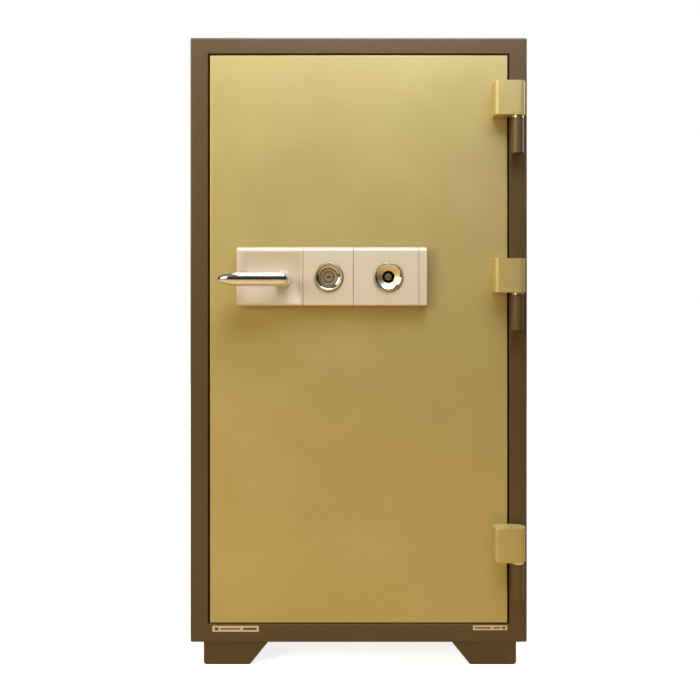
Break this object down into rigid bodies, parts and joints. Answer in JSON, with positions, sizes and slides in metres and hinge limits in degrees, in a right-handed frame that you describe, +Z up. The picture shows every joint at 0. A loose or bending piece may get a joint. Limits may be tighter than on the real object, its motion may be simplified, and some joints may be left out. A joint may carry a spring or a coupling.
{
  "type": "fire-resistant safe",
  "caption": "Tall free-standing fire-resistant safe with one side-hung door, lever handle, key locks, locking bolts and shelves.",
  "frame": {"origin": "on the floor, under the middle of the whole object", "axes": "+Z up, -Y out of the door, +X towards the hinges"},
  "size_m": [0.654, 0.662, 1.22],
  "materials": {
    "cabinet_paint": "satin",
    "door_paint": "satin",
    "inner_paint": "satin",
    "zinc_steel": "satin",
    "bright_steel": "polished",
    "fire_fill": "matte",
    "seal_strip": "matte",
    "panel_lacquer": "gloss",
    "lever_chrome": "polished",
    "lock_chrome": "polished",
    "lock_steel": "satin",
    "plate_card": "matte"
  },
  "bodies": {
    "cabinet": {"outer_body": "cabinet_paint", "door_jamb": "cabinet_paint", "bolt_keeper": "zinc_steel", "dog_keeper": "zinc_steel", "inner_liner": "inner_paint", "body_fire_fill": "fire_fill", "foot_front_left": "cabinet_paint", "foot_front_right": "cabinet_paint", "foot_rear_left": "cabinet_paint", "foot_rear_right": "cabinet_paint", "hinge_barrel_bottom": "cabinet_paint", "hinge_barrel_middle": "cabinet_paint", "hinge_barrel_top": "cabinet_paint", "hinge_pin_bottom": "bright_steel", "hinge_pin_middle": "bright_steel", "hinge_pin_top": "bright_steel", "hinge_washers": "bright_steel", "shelf_uprights_left": "inner_paint", "shelf_uprights_right": "inner_paint", "shelf_lower": "inner_paint", "shelf_middle": "inner_paint", "shelf_upper": "inner_paint", "shelf_clips": "zinc_steel", "plate_left": "plate_card", "plate_right": "plate_card"},
    "door": {"door_skin": "door_paint", "door_pan": "inner_paint", "hard_plate": "zinc_steel", "door_fire_fill": "fire_fill", "boltwork_plate": "zinc_steel", "door_back_cover": "inner_paint", "cover_screws": "zinc_steel", "door_seal": "seal_strip", "hinge_knuckle_bottom": "door_paint", "hinge_knuckle_middle": "door_paint", "hinge_knuckle_top": "door_paint", "handle_escutcheon": "panel_lacquer", "lock_cover_left": "panel_lacquer", "lock_cover_right": "panel_lacquer", "panel_end_cap": "panel_lacquer", "panel_backing": "zinc_steel", "lock_bezel_a": "lock_chrome", "lock_bezel_b": "lock_chrome", "lock_case_a": "zinc_steel", "lock_case_b": "zinc_steel", "handle_bush": "panel_lacquer", "bolt_guide": "zinc_steel", "carriage_studs": "zinc_steel", "dog_bar": "zinc_steel"},
    "handle": {"handle_grip": "lever_chrome", "handle_spindle": "lever_chrome", "spindle_crank": "zinc_steel"},
    "bolt_carriage": {"bolt_carriage": "zinc_steel", "locking_bolt_bottom": "bright_steel", "locking_bolt_middle": "bright_steel", "locking_bolt_top": "bright_steel"},
    "key_plug_a": {"key_plug_a": "lock_steel"},
    "key_plug_b": {"key_plug_b": "lock_steel"},
    "lock_bolt_a": {"lock_bolt_a": "lock_steel"},
    "lock_bolt_b": {"lock_bolt_b": "lock_steel"}
  },
  "joints": [
    {"name": "door_hinge", "type": "hinge", "parent": "cabinet", "child": "door", "pos_m": [0.3042, -0.2865, 0.6], "axis": [0, 0, 1], "range_deg": [0, 180]},
    {"name": "lever_turn", "type": "hinge", "parent": "door", "child": "handle", "pos_m": [-0.145, -0.269, 0.751], "axis": [0, 1, 0], "range_deg": [0, 50]},
    {"name": "carriage_slide", "type": "slide", "parent": "door", "child": "bolt_carriage", "axis": [-1, 0, 0], "range_m": [0, 0.03]},
    {"name": "key_a_turn", "type": "hinge", "parent": "door", "child": "key_plug_a", "pos_m": [-0.0577, -0.269, 0.755], "axis": [0, -1, 0], "range_deg": [0, 90]},
    {"name": "lock_bolt_a_lift", "type": "slide", "parent": "door", "child": "lock_bolt_a", "axis": [0, 0, 1], "range_m": [0, 0.01202]},
    {"name": "key_b_turn", "type": "hinge", "parent": "door", "child": "key_plug_b", "pos_m": [0.057, -0.269, 0.755], "axis": [0, -1, 0], "range_deg": [0, 90]},
    {"name": "lock_bolt_b_lift", "type": "slide", "parent": "door", "child": "lock_bolt_b", "axis": [0, 0, 1], "range_m": [0, 0.01202]}
  ],
  "couplings": [
    {"joint": "carriage_slide", "follows": "lever_turn", "m_per_rad": 0.034377},
    {"joint": "key_a_turn", "follows": "lock_bolt_a_lift", "rad_per_m": 130.68},
    {"joint": "key_b_turn", "follows": "lock_bolt_b_lift", "rad_per_m": 130.68}
  ]
}
